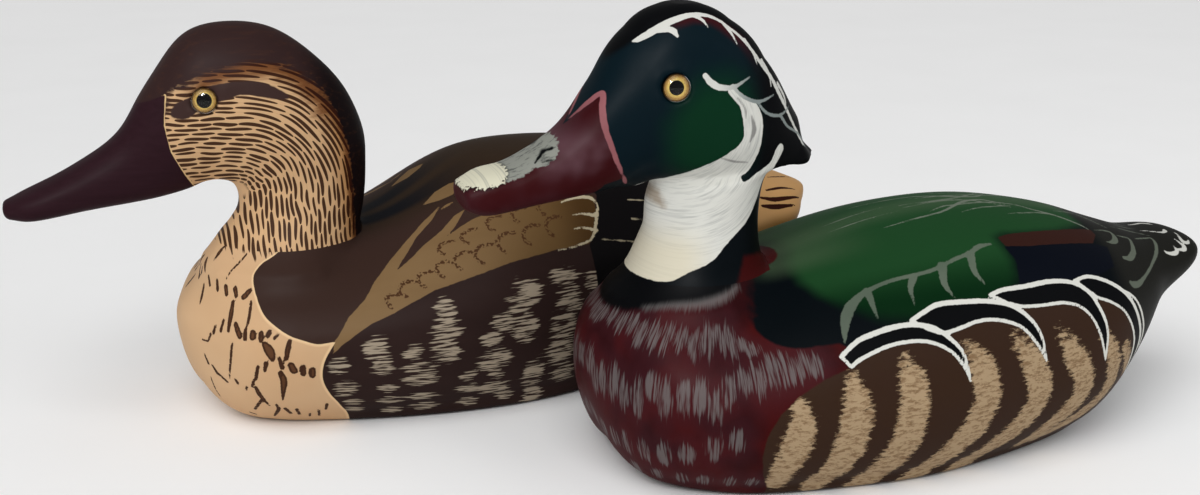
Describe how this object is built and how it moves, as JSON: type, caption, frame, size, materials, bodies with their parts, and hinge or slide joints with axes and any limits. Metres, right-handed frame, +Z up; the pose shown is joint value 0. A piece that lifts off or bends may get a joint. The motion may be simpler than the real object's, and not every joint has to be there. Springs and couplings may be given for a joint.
{
  "type": "pair of wooden ducks",
  "caption": "Pair of carved and painted wooden duck decoys, a hen and a crested drake, each with a set-on head, glass eyes and a flat underside.",
  "frame": {"origin": "middle of the pair's bounding box, at the level of the flat undersides", "axes": "+X from the drake's breast to its tail, +Y from the drake towards the hen, +Z up"},
  "size_m": [0.521, 0.2964, 0.1949],
  "materials": {
    "hen_body_paint": "carved wood, painted brown with tan feather marks, satin varnish",
    "hen_head_paint": "carved wood, painted beige with dark brown ticks and cap, satin varnish",
    "drake_body_paint": "carved wood, painted maroon, green and brown with white feather outlines, satin varnish",
    "drake_head_paint": "carved wood, painted black and green with white lines, satin varnish",
    "eye_glass": "clear glass over a gold iris and a black pupil"
  },
  "bodies": {
    "root": {"hen_body": "hen_body_paint", "hen_head": "hen_head_paint", "hen_eye_left": "eye_glass", "hen_eye_right": "eye_glass", "drake_body": "drake_body_paint", "drake_head": "drake_head_paint", "drake_eye_left": "eye_glass", "drake_eye_right": "eye_glass"}
  },
  "joints": []
}
